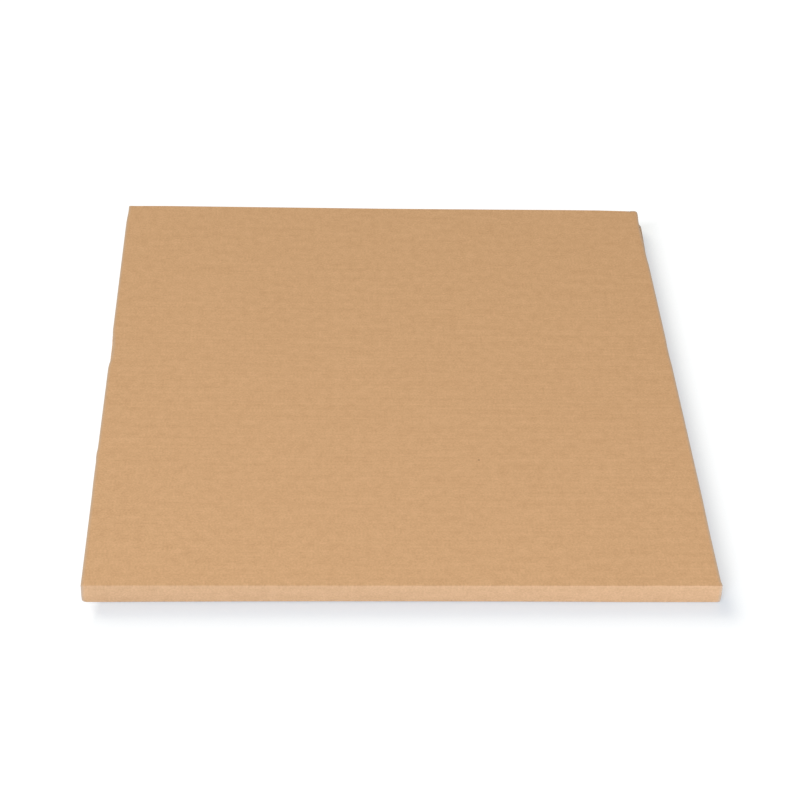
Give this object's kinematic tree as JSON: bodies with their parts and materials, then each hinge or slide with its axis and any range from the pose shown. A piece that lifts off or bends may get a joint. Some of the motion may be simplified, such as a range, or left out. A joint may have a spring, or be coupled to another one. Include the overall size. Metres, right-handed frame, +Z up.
{
  "type": "record mailer box",
  "caption": "Flat square mailer for a vinyl record, folded from corrugated board: a shallow tray with inner side flaps and a full-width creased lid that tucks in behind the far wall.",
  "frame": {"origin": "centre of the base, on the table", "axes": "+X right along the spine wall, +Y from the spine wall to the tuck edge, +Z up"},
  "size_m": [0.3328, 0.33, 0.0132],
  "materials": {
    "kraft_board": "matt brown kraft liner, uncoated"
  },
  "bodies": {
    "tray": {"tray": "kraft_board"},
    "lid": {"lid": "kraft_board"}
  },
  "joints": [
    {"name": "lid_hinge", "type": "hinge", "parent": "tray", "child": "lid", "pos_m": [0, -0.16447, 0.01267], "axis": [1, 0, 0], "range_deg": [0, 180]}
  ]
}
